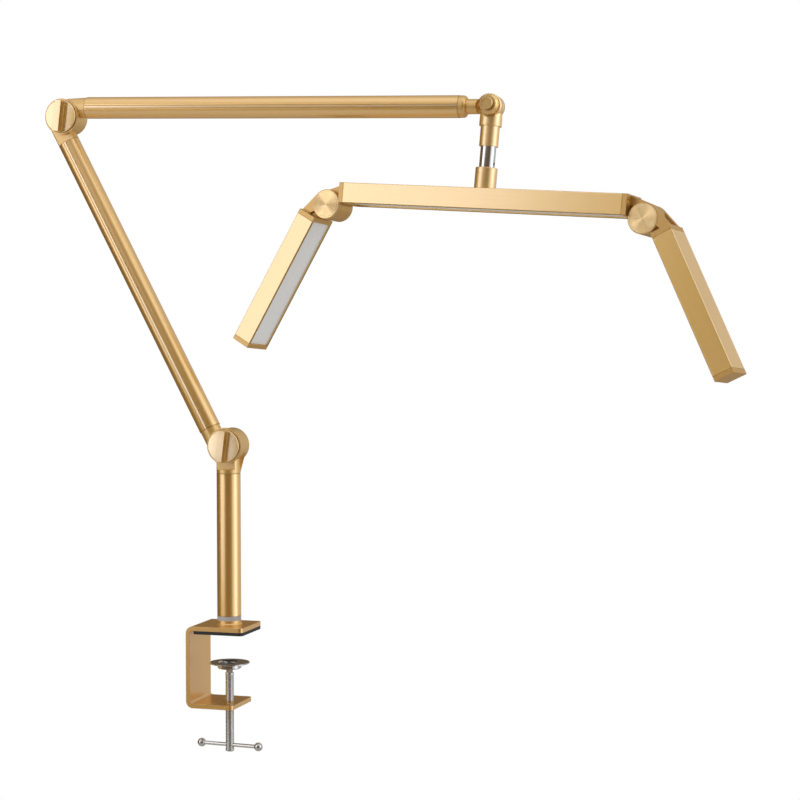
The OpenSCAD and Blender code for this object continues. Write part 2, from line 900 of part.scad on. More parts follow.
// Stem
module stem_sleeve() {
    color(gold) at_stem() difference() {
        union() {
            translate([0, 0, -sleeve_drop]) cylinder(h = sleeve_drop - socket_drop, r = sleeve_r);
            translate([0, 0, -socket_drop])
                cylinder(h = socket_spigot_l - face_gap, r = socket_spigot_r - push_gap);
        }
        translate([0, 0, -sleeve_drop - overcut])
            cylinder(h = sleeve_drop - shaft_top + overcut + face_gap, r = shaft_r + run_gap);
    }
}

module stem_shaft() {
    color(steel) at_head() difference() {
        translate([0, 0, -bar_drop + shaft_foot])
            cylinder(h = bar_drop - shaft_foot - shaft_top - face_gap, r = shaft_r);
        translate([shaft_r - grub_hole_d, 0, -grub_hole_drop])
            rod_x(grub_hole_r, 0, 2 * grub_hole_d);
    }
}

module stem_collar() {
    color(gold) at_head() difference() {
        translate([0, 0, -bar_drop]) rotate_extrude() polygon([
            [0, 0], [stem_collar_r, 0], [stem_collar_r, bar_drop - collar_drop - edge_cut],
            [stem_collar_r - edge_cut, bar_drop - collar_drop], [0, bar_drop - collar_drop]
        ]);
        translate([0, 0, -bar_drop + shaft_foot]) cylinder(h = beyond, r = shaft_r + push_gap);
    }
}

// Light bar
module bar_housing() {
    color(pale_gold) at_bar() housing(-bar_l / 2 + cap_t, bar_l / 2 - cap_t);
}

module bar_diffuser() {
    color(frost) at_bar() diffuser(-bar_l / 2 + cap_t, bar_l / 2 - cap_t);
}

module bar_led_board() {
    color(board_green) at_bar() led_board(-bar_l / 2 + cap_t, bar_l / 2 - cap_t);
}

module bar_cap(side) {
    color(gold) at_hinge(side) difference() {
        union() {
            translate([-hinge_out, 0, hinge_low + bar_h]) cap_plate(-cap_t, 0);
            slab_y(-tongue_w / 2, tongue_w / 2) knuckle_outline(hinge_out);
            screw_seats(-hinge_out, 1);
        }
        rod_y(pin_r + run_gap, -beyond, beyond);
    }
}

module left_bar_cap() {
    bar_cap(-1);
}

module right_bar_cap() {
    bar_cap(1);
}

// Wings: drawn along +X from the hinge axis, with the lit side towards -Z
module wing_housing(side) {
    color(pale_gold) at_wing(side) translate([0, 0, hinge_low + bar_h])
        housing(wing_start + cap_t, wing_end - cap_t);
}

module wing_diffuser(side) {
    color(frost) at_wing(side) translate([0, 0, hinge_low + bar_h])
        diffuser(wing_start + cap_t, wing_end - cap_t);
}

module wing_led_board(side) {
    color(board_green) at_wing(side) translate([0, 0, hinge_low + bar_h])
        led_board(wing_start + cap_t, wing_end - cap_t);
}

module wing_hinge_cap(side) {
    color(gold) at_wing(side) difference() {
        union() {
            translate([0, 0, hinge_low + bar_h]) cap_plate(wing_start, wing_start + cap_t);
            slab_y(-fork_w / 2, fork_w / 2) mirror([1, 0]) knuckle_outline(wing_start);
            screw_seats(wing_start, -1);
        }
        translate([-beyond, -tongue_w / 2 - cheek_gap, -beyond])
            cube([beyond + wing_start, tongue_w + 2 * cheek_gap, 2 * beyond]);
        rod_y(pin_r + push_gap, -beyond, beyond);
    }
}

module wing_end_cap(side) {
    color(gold) at_wing(side) translate([0, 0, hinge_low + bar_h])
        cap_plate(wing_end - cap_t, wing_end);
}

module hinge_pin(side) {
    color(steel) at_wing(side) rod_y(pin_r, -fork_w / 2, fork_w / 2);
}

// end is -1 for the front disc and 1 for the rear one
module hinge_disc(side, end) {
    color(pale_gold) at_wing(side) mirror([0, end < 0 ? 1 : 0, 0])
        turned_y(disc_r, fork_w / 2, fork_w / 2 + disc_t, cap_chamfer);
}

module left_wing_housing() {
    wing_housing(-1);
}

module left_wing_diffuser() {
    wing_diffuser(-1);
}

module left_wing_led_board() {
    wing_led_board(-1);
}

module left_wing_hinge_cap() {
    wing_hinge_cap(-1);
}

module left_wing_end_cap() {
    wing_end_cap(-1);
}

module left_hinge_pin() {
    hinge_pin(-1);
}

module left_disc_front() {
    hinge_disc(-1, -1);
}

module left_disc_rear() {
    hinge_disc(-1, 1);
}

module right_wing_housing() {
    wing_housing(1);
}

module right_wing_diffuser() {
    wing_diffuser(1);
}

module right_wing_led_board() {
    wing_led_board(1);
}

module right_wing_hinge_cap() {
    wing_hinge_cap(1);
}

module right_wing_end_cap() {
    wing_end_cap(1);
}

module right_hinge_pin() {
    hinge_pin(1);
}

module right_disc_front() {
    hinge_disc(1, -1);
}

module right_disc_rear() {
    hinge_disc(1, 1);
}

clamp_frame();
jaw_pad();
base_collar();
base_stud();
swivel_washer();
stud_nut();
pressure_dish();
clamp_spindle();
tommy_bar();
post_tube();
post_bush();
post_head();
lower_washer();
lower_nut();
lower_rear_cap();
lower_knob();
lower_arm_foot();
lower_arm_tube();
lower_arm_head();
upper_washer();
upper_nut();
upper_rear_cap();
upper_knob();
upper_arm_foot();
upper_arm_tube();
upper_arm_cap();
tilt_neck();
neck_ring();
tilt_nut();
tilt_knob();
tilt_socket();
stem_sleeve();
stem_shaft();
stem_collar();
bar_housing();
bar_diffuser();
bar_led_board();
left_bar_cap();
right_bar_cap();
left_wing_housing();
left_wing_diffuser();
left_wing_led_board();
left_wing_hinge_cap();
left_wing_end_cap();
left_hinge_pin();
left_disc_front();
left_disc_rear();
right_wing_housing();
right_wing_diffuser();
right_wing_led_board();
right_wing_hinge_cap();
right_wing_end_cap();
right_hinge_pin();
right_disc_front();
right_disc_rear();
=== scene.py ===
"""Dresses the solids of a folding beauty lamp: metals, plastics, screw thread, studio."""

import json
import math

import bpy
import numpy as np
from mathutils import Matrix, Vector


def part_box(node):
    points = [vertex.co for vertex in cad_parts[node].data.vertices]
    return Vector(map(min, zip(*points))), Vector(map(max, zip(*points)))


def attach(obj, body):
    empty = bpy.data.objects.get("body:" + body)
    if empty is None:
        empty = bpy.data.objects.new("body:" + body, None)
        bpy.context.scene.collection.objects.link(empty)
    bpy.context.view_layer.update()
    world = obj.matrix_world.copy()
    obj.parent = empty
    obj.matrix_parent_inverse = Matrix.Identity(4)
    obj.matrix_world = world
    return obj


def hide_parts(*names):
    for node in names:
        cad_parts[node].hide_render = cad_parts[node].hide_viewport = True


bl_info = {
    "name": "Folding Beauty Lamp",
    "version": (1, 0, 0),
    "blender": (4, 5, 0),
    "location": "View3D > Sidebar > Lamp",
    "description": "Finishes, small fasteners, screw thread and studio of a clamp-on folding lamp",
    "category": "Object",
}

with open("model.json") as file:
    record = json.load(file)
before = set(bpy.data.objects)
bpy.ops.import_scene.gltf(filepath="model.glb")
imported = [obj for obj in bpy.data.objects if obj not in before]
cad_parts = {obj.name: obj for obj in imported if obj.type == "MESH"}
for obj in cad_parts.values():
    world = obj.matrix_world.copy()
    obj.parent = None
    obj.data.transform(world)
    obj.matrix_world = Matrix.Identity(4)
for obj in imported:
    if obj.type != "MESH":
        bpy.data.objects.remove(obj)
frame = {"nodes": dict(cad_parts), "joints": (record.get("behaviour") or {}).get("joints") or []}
NODES = frame["nodes"]
JOINTS = {joint["name"]: joint for joint in frame["joints"]}
MM = 0.001
WHITE = (1.0, 1.0, 1.0, 1.0)


def axis_of(joint):
    """Unit direction of a joint's axis."""
    return Vector(JOINTS[joint]["axis"]).normalized()


def place_of(joint):
    """Point on a joint's axis, in metres."""
    return Vector(JOINTS[joint]["pos_m"])


def rest_fold(joint):
    """Angle by which a wing is folded at rest, in radians: its range starts at straight."""
    return -math.radians(JOINTS[joint]["range_deg"][0])


def basis(x, y, z):
    """Rotation whose columns are the three directions."""
    return Matrix((x, y, z)).transposed()


BAR_Y = axis_of("right_wing_fold")
BAR_Z = axis_of("head_swivel")
BAR_X = BAR_Y.cross(BAR_Z)
BAR_TURN = basis(BAR_X, BAR_Y, BAR_Z)
HINGES = {"left": place_of("left_wing_fold"), "right": place_of("right_wing_fold")}
ARM_LOW = place_of("upper_elbow") - place_of("lower_elbow")
ARM_LOW.y = 0.0
ARM_LOW.normalize()
ARM_HIGH = axis_of("neck_swivel")
FRONT = Vector((0, -1, 0))


def wing_turn(side):
    """Rotation of a wing: X runs outwards along it, Z points away from its lit face."""
    away = 1 if side == "right" else -1
    fold = Matrix.Rotation(away * rest_fold(side + "_wing_fold"), 3, BAR_Y)
    return basis(fold @ (BAR_X * away), BAR_Y * away, fold @ BAR_Z)


def reach_along(node, origin, direction):
    """Lowest and highest distance of a solid's points from origin along a direction, and
    their greatest distance from that line."""
    data = NODES[node].data
    points = np.empty(len(data.vertices) * 3)
    data.vertices.foreach_get("co", points)
    away = points.reshape(-1, 3) - np.array(origin)
    along = away @ np.array(direction)
    across = np.linalg.norm(away - along[:, None] * np.array(direction), axis=1)
    return along.min(), along.max(), across.max()


class LampColours(bpy.types.PropertyGroup):
    """Base colours of the finishes."""
    tube: bpy.props.FloatVectorProperty(
        name="Tube gold", description="Deep gold of the anodised tubes", subtype="COLOR",
        min=0, max=1, default=(0.95, 0.56, 0.11))
    cast: bpy.props.FloatVectorProperty(
        name="Casting gold", description="Deep gold of the blasted castings", subtype="COLOR",
        min=0, max=1, default=(0.84, 0.52, 0.11))
    # The cap gold also paints the shade on the sides of the knobs' grip ribs
    cap: bpy.props.FloatVectorProperty(
        name="Cap gold", description="Deep gold of the caps on the bar and wings",
        subtype="COLOR", min=0, max=1, default=(0.68, 0.41, 0.10))
    knob: bpy.props.FloatVectorProperty(
        name="Knob gold", description="Deep gold of the knobs and discs", subtype="COLOR",
        min=0, max=1, default=(0.97, 0.61, 0.12))
    panel: bpy.props.FloatVectorProperty(
        name="Panel gold", description="Deep gold of the light bar and wings", subtype="COLOR",
        min=0, max=1, default=(0.97, 0.60, 0.10))
    strip: bpy.props.FloatVectorProperty(
        name="Strip gold", description="Deep gold of the clamp's strip", subtype="COLOR",
        min=0, max=1, default=(0.86, 0.50, 0.12))
    skin: bpy.props.FloatVectorProperty(
        name="Skin", description="Pale gloss on every gold piece", subtype="COLOR",
        min=0, max=1, default=(0.97, 0.93, 0.86))
    skin_share: bpy.props.FloatProperty(
        name="Share of the skin", description="How much of the gold is pale gloss", min=0, max=1,
        default=0.38)
    cast_skin_share: bpy.props.FloatProperty(
        name="Share on castings", description="How much of the castings' gold is pale gloss",
        min=0, max=1, default=0.20)
    tube_skin_share: bpy.props.FloatProperty(
        name="Share on tubes", description="How much of the tubes' gold is pale gloss",
        min=0, max=1, default=0.27)
    knob_skin_share: bpy.props.FloatProperty(
        name="Share on knobs", description="How much of the knobs' gold is pale gloss",
        min=0, max=1, default=0.45)
    cap_skin_share: bpy.props.FloatProperty(
        name="Share on caps", description="How much of the end caps' gold is pale gloss",
        min=0, max=1, default=0.10)
    steel: bpy.props.FloatVectorProperty(
        name="Steel", description="Hidden steel pieces", subtype="COLOR", min=0, max=1,
        default=(0.60, 0.60, 0.61))
    chrome: bpy.props.FloatVectorProperty(
        name="Chrome", description="Polished shaft of the stem", subtype="COLOR",
        min=0, max=1, default=(0.73, 0.75, 0.78))
    plated: bpy.props.FloatVectorProperty(
        name="Nickel", description="Clamp screw, dish and cross bar", subtype="COLOR",
        min=0, max=1, default=(0.60, 0.61, 0.62))
    rubber: bpy.props.FloatVectorProperty(
        name="Rubber", description="Pad under the top jaw", subtype="COLOR", min=0, max=1,
        default=(0.018, 0.018, 0.02))
    resin: bpy.props.FloatVectorProperty(
        name="Resin", description="Swivel and friction washers", subtype="COLOR", min=0, max=1,
        default=(0.42, 0.42, 0.43))
    frost: bpy.props.FloatVectorProperty(
        name="Frosted acrylic", description="Diffusers", subtype="COLOR", min=0, max=1,
        default=(0.91, 0.92, 0.92))
    board: bpy.props.FloatVectorProperty(
        name="Board", description="Boards behind the diffusers", subtype="COLOR", min=0, max=1,
        default=(0.75, 0.75, 0.72))


class LampSizes(bpy.types.PropertyGroup):
    """Sizes of what is modelled here."""
    pitch: bpy.props.FloatProperty(
        name="Pitch", description="Rise of the clamp screw's thread in one turn",
        subtype="DISTANCE", unit="LENGTH", default=1.25 * MM)
    thread_depth: bpy.props.FloatProperty(
        name="Thread depth", description="Crest to root of the thread",
        subtype="DISTANCE", unit="LENGTH", default=0.55 * MM)
    screw_head: bpy.props.FloatProperty(
        name="Screw head", description="Radius of the small screws in the end caps",
        subtype="DISTANCE", unit="LENGTH", default=1.9 * MM)
    edge: bpy.props.FloatProperty(
        name="Edge", description="Radius that softens the edges of the metal",
        subtype="DISTANCE", unit="LENGTH", default=0.35 * MM)
    crown: bpy.props.FloatProperty(
        name="Knob crown", description="Radius of the ball whose cap the knobs' faces are",
        subtype="DISTANCE", unit="LENGTH", default=260 * MM)
    disc_crown: bpy.props.FloatProperty(
        name="Disc crown", description="Radius of the ball whose cap the hinge discs' faces are",
        subtype="DISTANCE", unit="LENGTH", default=400 * MM)
    disc_bevel: bpy.props.FloatProperty(
        name="Disc bevel", description="Bevel round the hinge discs",
        subtype="DISTANCE", unit="LENGTH", default=0.4 * MM)
    ring_pitch: bpy.props.FloatProperty(
        name="Ring pitch", description="Distance between the rings on the hinge discs",
        subtype="DISTANCE", unit="LENGTH", default=0.4 * MM)
    ring_depth: bpy.props.FloatProperty(
        name="Ring depth", description="Depth of the rings on the hinge discs",
        subtype="DISTANCE", unit="LENGTH", default=0.06 * MM)
    rim: bpy.props.FloatProperty(
        name="Rim", description="Width of the plain rim round the rings of a hinge disc",
        subtype="DISTANCE", unit="LENGTH", default=0.5 * MM)
    # Painted highlight down the arms' front: a strip of paler gold with more gloss
    rail: bpy.props.FloatProperty(
        name="Rail", description="Half the width of the bright rail down the arms' front",
        subtype="DISTANCE", unit="LENGTH", default=1.2 * MM)


class LampStudio(bpy.types.PropertyGroup):
    """Camera, lamps and floor."""
    lens: bpy.props.FloatProperty(
        name="Lens", description="Focal length on a sensor 36 mm wide", default=90.0)
    camera_place: bpy.props.FloatVectorProperty(
        name="Camera place", description="Place of the camera", subtype="XYZ", unit="LENGTH",
        default=(0.68597, -1.71041, 0.28826))
    camera_turn: bpy.props.FloatProperty(
        name="Camera turn", description="Turn of the view about the vertical",
        subtype="ANGLE", unit="ROTATION", default=math.radians(16.94))
    camera_dip: bpy.props.FloatProperty(
        name="Camera dip", description="How far the view looks down",
        subtype="ANGLE", unit="ROTATION", default=math.radians(2.33))
    camera_roll: bpy.props.FloatProperty(
        name="Camera roll", description="Roll of the view",
        subtype="ANGLE", unit="ROTATION", default=math.radians(-0.09))
    floor_z: bpy.props.FloatProperty(
        name="Floor", description="Height of the floor under the clamp",
        subtype="DISTANCE", unit="LENGTH", default=-0.75)
    floor_tone: bpy.props.FloatVectorProperty(
        name="Floor tone", description="Colour of the floor to all rays but the camera's",
        subtype="COLOR", min=0, max=1, default=(0.62, 0.58, 0.53))
    ambient: bpy.props.FloatVectorProperty(
        name="Ambient", description="Light that falls on matt surfaces from all round",
        subtype="COLOR", min=0, max=1, default=(0.62, 0.62, 0.62))
    gap: bpy.props.FloatVectorProperty(
        name="Gaps", description="Dim warm tone that the metal mirrors between the screens",
        subtype="COLOR", min=0, max=1, default=(0.145, 0.10, 0.058))


# Name, place, width and height in metres, and power in watts of each softbox
SOFTBOXES = (
    ("key_light", (-1.34, -1.31, 0.7), (1.3, 1.9), 10.6),
    ("side_light", (1.7, 0.0, 0.5), (0.7, 1.8), 3.8),
    ("front_light", (-0.15, -1.6, 1.15), (1.3, 0.8), 1.4),
    ("top_light", (0.0, -0.5, 1.7), (2.0, 1.2), 2.7),
    ("low_light", (-0.75, -1.75, 0.05), (0.45, 0.5), 0.7),
)
AIM = (0.1, 0.0, 0.3)


class Value:
    """A socket inside a material or world, with arithmetic that adds Math nodes."""

    def __init__(self, graph, socket):
        self.graph = graph
        self.socket = socket

    def math(self, operation, *others):
        """Result of a Math node on this value and the others."""
        inputs = dict(enumerate((self,) + others))
        return self.graph.node("ShaderNodeMath", {"operation": operation}, inputs)

    def __add__(self, other):
        return self.math("ADD", other)

    __radd__ = __add__

    def __sub__(self, other):
        return self.math("SUBTRACT", other)

    def __rsub__(self, other):
        return self.graph.node("ShaderNodeMath", {"operation": "SUBTRACT"}, {0: other, 1: self})

    def __mul__(self, other):
        return self.math("MULTIPLY", other)

    __rmul__ = __mul__

    def __truediv__(self, other):
        return self.math("DIVIDE", other)

    def step(self, low, high):
        """Smooth rise from 0 at low to 1 at high."""
        return self.graph.node(
            "ShaderNodeMapRange", {"interpolation_type": "SMOOTHSTEP"},
            {"Value": self, "From Min": low, "From Max": high, "To Min": 0.0, "To Max": 1.0})


class Graph:
    """Node tree of one material or of the world."""

    def __init__(self, tree):
        self.tree = tree
        self.tree.nodes.clear()

    def node(self, kind, settings=None, inputs=None, output=0):
        """Adds a node, sets it up, fills or links its inputs and returns one output, or a
        list of outputs for a tuple of their names."""
        made = self.tree.nodes.new(kind)
        for name, value in (settings or {}).items():
            setattr(made, name, value)
        for name, value in (inputs or {}).items():
            if isinstance(value, Value):
                self.tree.links.new(value.socket, made.inputs[name])
            elif value is not None:
                made.inputs[name].default_value = value
        if isinstance(output, tuple):
            return [Value(self, made.outputs[name]) for name in output]
        return Value(self, made.outputs[output])

    def end(self, kind, surface):
        """Links a shader to the tree's output."""
        self.node(kind, {}, {"Surface": surface}, output=())

    def place(self, centre=(0, 0, 0), turn=Matrix.Identity(3), stretch=(1, 1, 1)):
        """Object coordinates seen from a centre and directions, divided by a stretch."""
        where = self.node("ShaderNodeTexCoord", output="Object")
        return self.node(
            "ShaderNodeMapping", {"vector_type": "TEXTURE"},
            {"Vector": where, "Location": tuple(centre), "Rotation": tuple(turn.to_euler()),
             "Scale": tuple(stretch)})

    def parts(self, vector):
        """The three numbers of a vector."""
        return self.node("ShaderNodeSeparateXYZ", {}, {0: vector}, output=(0, 1, 2))

    def lean(self, vector, direction):
        """How far a vector reaches along a direction."""
        return self.node("ShaderNodeVectorMath", {"operation": "DOT_PRODUCT"},
                         {0: vector, 1: tuple(direction)}, "Value")

    def noise(self, vector, scale, detail=3.0, roughness=0.5):
        """Noise between 0 and 1."""
        return self.node(
            "ShaderNodeTexNoise", {}, {"Vector": vector, "Scale": scale, "Detail": detail,
                                       "Roughness": roughness}, "Fac")

    def mix(self, factor, first, second):
        """Mix of two colours. The node's colour sockets are its inputs 6 and 7 and its
        output 2."""
        return self.node("ShaderNodeMix", {"data_type": "RGBA"},
                         {0: factor, 6: first, 7: second}, output=2)

    def bump(self, height, strength, distance, edge):
        """Bump of a height over edges that are softened by a radius."""
        soft = self.node("ShaderNodeBevel", {"samples": 6}, {"Radius": edge})
        return self.node("ShaderNodeBump", {}, {"Height": height, "Strength": strength,
                                                "Distance": distance, "Normal": soft})


def rgba(colour, gain=1.0):
    """Colour with an alpha of 1, made lighter or darker by a gain."""
    return tuple(min(1.0, part * gain) for part in colour[:3]) + (1.0,)


def material(name, build):
    """New material whose shader is what build returns for its graph."""
    made = bpy.data.materials.new(name)
    made.use_nodes = True
    graph = Graph(made.node_tree)
    graph.end("ShaderNodeOutputMaterial", build(graph))
    return made


def coat(graph, colour, roughness, metallic=1.0, normal=None, **more):
    """Principled shader. More holds values for further sockets by name."""
    inputs = {"Base Color": colour, "Roughness": roughness, "Metallic": metallic, "Normal": normal}
    inputs.update(more)
    return graph.node("ShaderNodeBsdfPrincipled", {}, inputs)


def gold(graph, colour, roughness, normal, gloss, share, lines=None):
    """Anodised metal: a share of pale, sharper gloss, the skin, over deep satin gold. The
    skin whitens what mirrors a lamp and leaves what mirrors the dim room saturated. It is
    missing where lines is 1."""
    deep = coat(graph, colour, roughness, 1.0, normal)
    pale = coat(graph, rgba(colours().skin), gloss, 1.0, normal)
    if lines is not None:
        share = share * (1 - 0.85 * lines)
    return graph.node("ShaderNodeMixShader", {}, {0: share, 1: deep, 2: pale})


def colours():
    """The colours in the panel."""
    return bpy.context.scene.lamp_colours


def sizes():
    """The sizes in the panel."""
    return bpy.context.scene.lamp_sizes


def assign(made, names):
    """Puts a material in every slot of the named solids."""
    for name in names:
        slots = NODES[name].data.materials
        for index in range(len(slots)):
            slots[index] = made


def line_at(distance, core, faded):
    """1 within core of where a distance is 0, and 0 from faded on."""
    return 1 - distance.math("ABSOLUTE").step(core, faded)


def seam_lines(along, seams):
    """1 in the fine dark line at each end of a piece, where along is the distance along it
    and seams are the distances of its two ends."""
    first, last = [line_at(along - seam, 0.2 * MM, 0.7 * MM) for seam in seams]
    return first.math("MAXIMUM", last)


def lip_shade(graph, origin, lit, lowest):
    """1 in the painted shade, a dark line at the lower edge of a housing: lit is the
    direction out of its lit side, and lowest is how far the edge lies that way."""
    return graph.lean(graph.place(origin), lit).step(lowest - 0.9 * MM, lowest - 0.5 * MM)


def highlight_masks(out, aside, rail):
    """Masks of the painted highlight down a tube's front and of the dark line at each side of
    it. Out is the distance from the tube's axis to the front, aside the one across it."""
    front = out.step(0.0, 1.0 * MM)
    bright = line_at(aside, 0.5 * rail, 0.8 * rail)
    flank_lines = line_at(aside.math("ABSOLUTE") - rail, 0.15 * MM, 0.55 * MM)
    return bright * front, flank_lines * front


def darken(graph, shade, lines, colour):
    """Colour that goes over to a dark tone where lines is 1."""
    return graph.mix(lines * 0.7, shade, rgba(colour, 0.25))


def drawn_gold(name, colour, along, share, origin, seams, rough=(0.36, 0.46), gloss=0.19,
               lip=None, rail=0.0):
    """Satin anodised metal, drawn along a direction: fine streaks and soft smears, a dark line
    where the piece meets the next one, and painted shade along a housing's lip. The argument
    highlight is half the width of the painted highlight down the front of a tube, paler gold
    with more pale gloss between two dark lines, and origin then lies on the tube's axis."""
    side = along.cross(FRONT).normalized()
    turn = basis(along, side.cross(along), side)
    streak_size = (0.8, 0.008, 0.008)
    smear_size = (0.05, 0.05, 0.05)

    def build(graph):
        down, out, aside = graph.parts(graph.place(origin, turn))
        lines = seam_lines(down, seams)
        if lip:
            # Painted shade along the lower edge of a housing's lip
            lines = lines.math("MAXIMUM", lip_shade(graph, origin, *lip))
        streaks = graph.noise(graph.place(turn=turn, stretch=streak_size), 12.0, 3.0)
        smear = graph.noise(graph.place(stretch=smear_size), 1.6, 2.0)
        shade = graph.mix(streaks.step(0.3, 0.7), rgba(colour, 0.965), rgba(colour, 1.02))
        sheen = share
        # Painted highlight down the tube's front: paler gold and more pale gloss, with a dark line
        # at each side
        if rail:
            bright, flank_lines = highlight_masks(out, aside, rail)
            lines = lines.math("MAXIMUM", 0.8 * flank_lines)
            pale = [0.7 * deep + 0.3 * skin for deep, skin in zip(colour, colours().skin)]
            shade = graph.mix(bright, shade, rgba(pale))
            sheen = share + 0.08 * bright
        shade = darken(graph, shade, lines, colour)
        roughness = rough[0] + (rough[1] - rough[0]) * (0.65 * smear + 0.35 * streaks)
        normal = graph.bump(streaks, 0.06, 0.05 * MM, sizes().edge)
        return gold(graph, shade, roughness, normal, gloss, sheen, lines)

    return material(name, build)


def cast_gold(name, colour, share, rough=(0.44, 0.54), gloss=0.32, softness=1.0):
    """Blasted die casting: fine grain in the surface and in the gloss. Softness is the
    share of the usual radius that its edges get."""
    def build(graph):
        grain = graph.noise(graph.place(stretch=(0.001, 0.001, 0.001)), 3.2, 3.0, 0.6)
        cloud = graph.noise(graph.place(stretch=(0.03, 0.03, 0.03)), 1.3, 2.0)
        shade = graph.mix(cloud, rgba(colour, 0.95), rgba(colour, 1.03))
        roughness = rough[0] + (rough[1] - rough[0]) * grain
        normal = graph.bump(grain, 0.18, 0.05 * MM, softness * sizes().edge)
        return gold(graph, shade, roughness, normal, gloss, share)

    return material(name, build)


def turned_gold(name, colour, centre, rib, rough=0.42, gloss=0.18):
    """Smooth turned face, crowned like a ball of the crown's radius round the front
    direction through centre: the height falls with the square of the distance from it.
    The sides of the grip rib, whose top stands out by rib, get painted shade: the darker
    cap gold and little of the pale gloss."""
    def build(graph):
        x, y, z = graph.parts(graph.place(centre))
        out = y * -1.0
        # Painted shade on the side walls of the grip rib
        above_foot = out.step(rib - 2.4 * MM, rib - 1.8 * MM)
        below_top = 1 - out.step(rib - 0.3 * MM, rib - 0.1 * MM)
        rib_side_shade = above_foot * below_top
        fall = (x * x + z * z) * (-0.5 / sizes().crown)
        uneven = graph.noise(graph.place(stretch=(0.004, 0.004, 0.004)), 1.0, 2.0)
        shade = graph.mix(uneven, rgba(colour, 0.97), rgba(colour, 1.02))
        shade = graph.mix(rib_side_shade, shade, rgba(colours().cap))
        height = fall + uneven * (0.01 * MM)
        normal = graph.bump(height, 1.0, 1.0, sizes().edge)
        return gold(graph, shade, rough, normal, gloss, colours().knob_skin_share, rib_side_shade)

    return material(name, build)


def spun_gold(name, colour, rough=0.25, gloss=0.15):
    """Bright metal of the turned discs, whose rings are in their mesh."""
    def build(graph):
        uneven = graph.noise(graph.place(stretch=(0.006, 0.006, 0.006)), 1.0, 2.0)
        shade = graph.mix(uneven, rgba(colour, 0.98), rgba(colour, 1.02))
        return gold(graph, shade, rough, None, gloss, colours().skin_share)

    return material(name, build)


def smooth_metal(name, colour, rough, grain=400.0, strength=0.05):
    """Polished or plated metal with faint wipe marks."""
    def build(graph):
        marks = graph.noise(graph.place(), grain, 2.0)
        roughness = rough * (0.8 + 0.4 * marks)
        normal = graph.bump(marks, strength, 0.02 * MM, sizes().edge)
        return coat(graph, rgba(colour), roughness, 1.0, normal)

    return material(name, build)


def plain_plastic(name, colour, rough, grain, strength, spread=0.05, **more):
    """Rubber, resin or acrylic with a moulded grain, whose colour varies by a spread."""
    def build(graph):
        fine = graph.noise(graph.place(), grain, 3.0)
        shade = graph.mix(fine, rgba(colour, 1 - spread), rgba(colour, 1 + spread))
        roughness = rough * (0.9 + 0.2 * fine)
        normal = graph.bump(fine, strength, 0.03 * MM, sizes().edge)
        return coat(graph, shade, roughness, 0.0, normal, **more)

    return material(name, build)


def shell(name, points, faces):
    """Mesh object of a point array and lists of faces, smooth shaded."""
    mesh = bpy.data.meshes.new(name)
    mesh.from_pydata(points.tolist(), [], [tuple(face) for face in faces])
    mesh.validate()
    mesh.shade_smooth()
    piece = bpy.data.objects.new(name, mesh)
    bpy.context.scene.collection.objects.link(piece)
    return piece


def turned_faces(rows, columns):
    """Faces of a closed turned shell: rows of rings, then the bottom and the top point."""
    ring = np.arange(columns)
    after = (ring + 1) % columns
    low = (np.arange(rows - 1) * columns)[:, None]
    high = low + columns
    quads = np.stack([low + ring, low + after, high + after, high + ring], axis=-1)
    bottom = rows * columns
    last = (rows - 1) * columns
    down = np.stack([np.full(columns, bottom), after, ring], axis=-1)
    up = np.stack([np.full(columns, bottom + 1), last + ring, last + after], axis=-1)
    return quads.reshape(-1, 4).tolist() + down.tolist() + up.tolist()


def turned_points(height, radius, columns):
    """Points at (radius cos a, radius sin a, height) for every row of heights, with radius
    given per row or per row and column, and the two end points on the axis."""
    angle = np.linspace(0, 2 * np.pi, columns, endpoint=False)
    if radius.ndim == 1:
        radius = radius[:, None]
    radius = np.broadcast_to(radius, (len(height), columns))
    ring = np.stack([radius * np.cos(angle), radius * np.sin(angle),
                     np.broadcast_to(height[:, None], radius.shape)], axis=-1)
    ends = [[0, 0, height[0]], [0, 0, height[-1]]]
    return np.concatenate([ring.reshape(-1, 3), ends])


def tube_middle(node, joint, along):
    """Point on a tube's axis: a joint's place, moved to the middle of the tube's width
    from front to back and across."""
    origin = place_of(joint)
    for direction in (FRONT, along.cross(FRONT).normalized()):
        low, high, _ = reach_along(node, origin, direction)
        origin = origin + direction * ((low + high) / 2)
    return origin


class LAMP_OT_tubes(bpy.types.Operator):
    """Satin gold on the post and the arm tubes"""
    bl_idname = "lamp.tubes"
    bl_label = "Tubes"

    def execute(self, context):
        lines = {"post_tube": ("lower_elbow", Vector((0, 0, 1))),
                 "lower_arm_tube": ("lower_elbow", ARM_LOW),
                 "upper_arm_tube": ("upper_elbow", ARM_HIGH)}
        for node, (joint, along) in lines.items():
            origin = tube_middle(node, joint, along)
            low, high, _ = reach_along(node, origin, along)
            made = drawn_gold("gold_" + node, colours().tube, along, colours().tube_skin_share,
                              origin, (low, high),
                              rail=0.0 if node == "post_tube" else sizes().rail)
            assign(made, [node])
        return {"FINISHED"}


